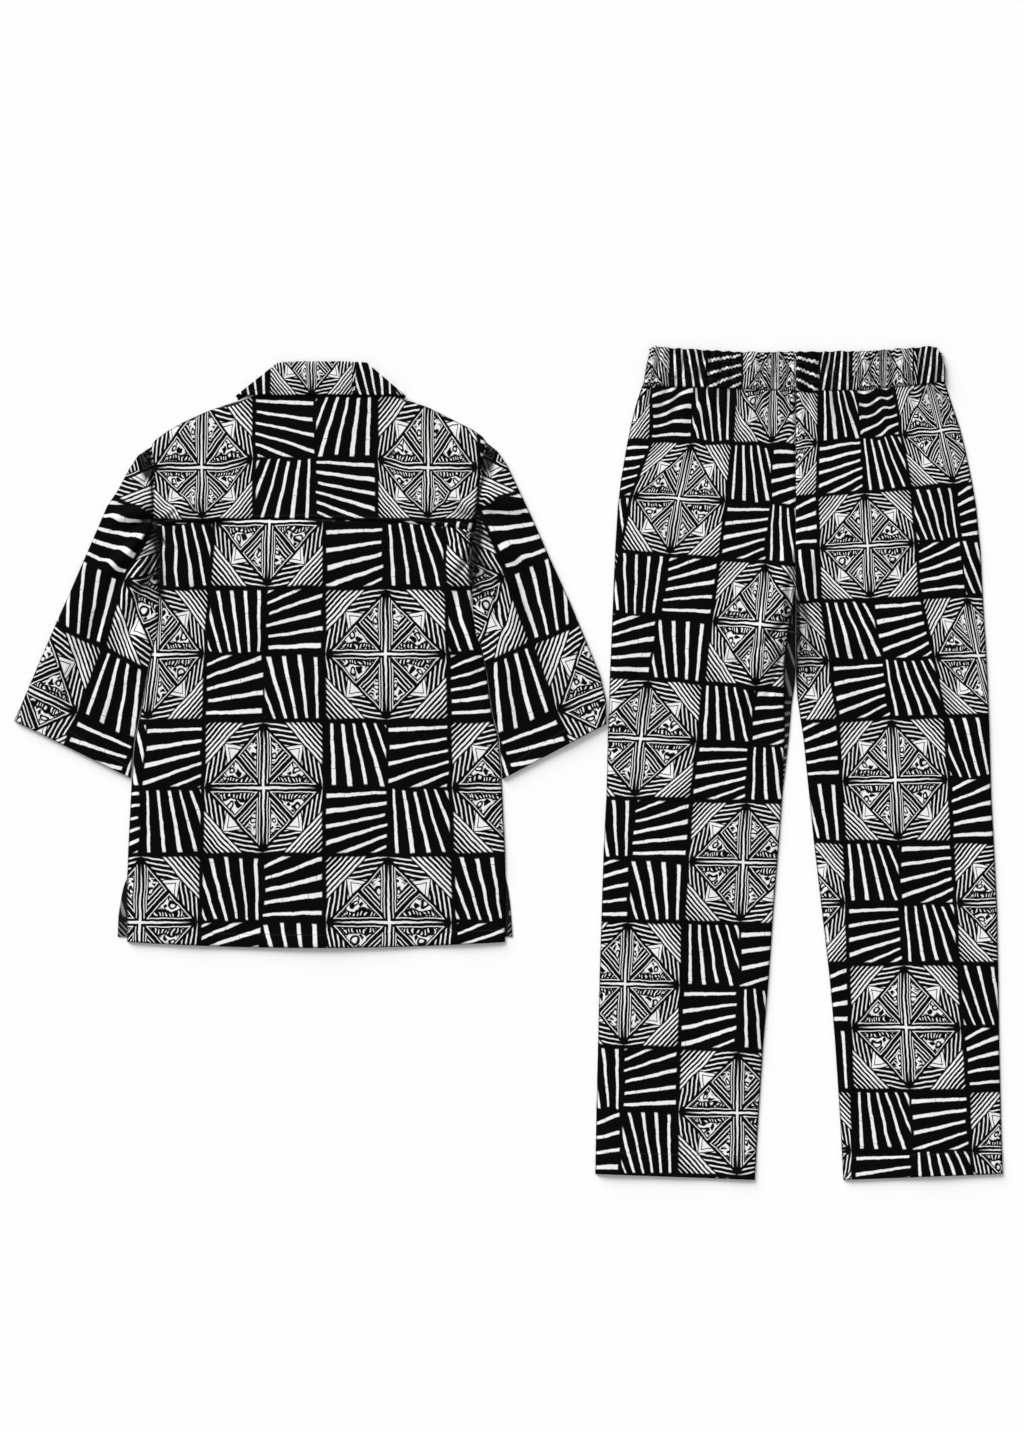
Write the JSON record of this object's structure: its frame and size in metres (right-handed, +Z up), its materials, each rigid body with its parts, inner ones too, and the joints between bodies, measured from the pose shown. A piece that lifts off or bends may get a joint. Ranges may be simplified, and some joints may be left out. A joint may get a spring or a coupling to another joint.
{
  "type": "short-sleeved shirt and trousers co-ord set laid flat",
  "caption": "Laid-flat co-ord set seen from the back: a short-sleeved shirt with collar and yoke, and straight trousers with a gathered elastic waist.",
  "frame": {"origin": "centre of the whole set's box, on the surface that it lies on", "axes": "+Z up off the surface, +Y from the hems to the collar and the waistband, +X from the shirt to the trousers"},
  "size_m": [1.2363, 1.0428, 0.0081],
  "materials": {
    "shirt_cloth": "matte",
    "trousers_cloth": "matte",
    "button": "satin"
  },
  "bodies": {
    "root": {"shirt_back": "shirt_cloth", "shirt_yoke": "shirt_cloth", "shirt_front_left": "shirt_cloth", "shirt_front_right": "shirt_cloth", "shirt_sleeve_left": "shirt_cloth", "shirt_sleeve_right": "shirt_cloth", "shirt_collar": "shirt_cloth", "shirt_button_1": "button", "shirt_button_2": "button", "shirt_button_3": "button", "shirt_button_4": "button", "shirt_button_5": "button", "trousers_waistband": "trousers_cloth", "trousers_back_left": "trousers_cloth", "trousers_back_right": "trousers_cloth", "trousers_front_left": "trousers_cloth", "trousers_front_right": "trousers_cloth"}
  },
  "joints": []
}
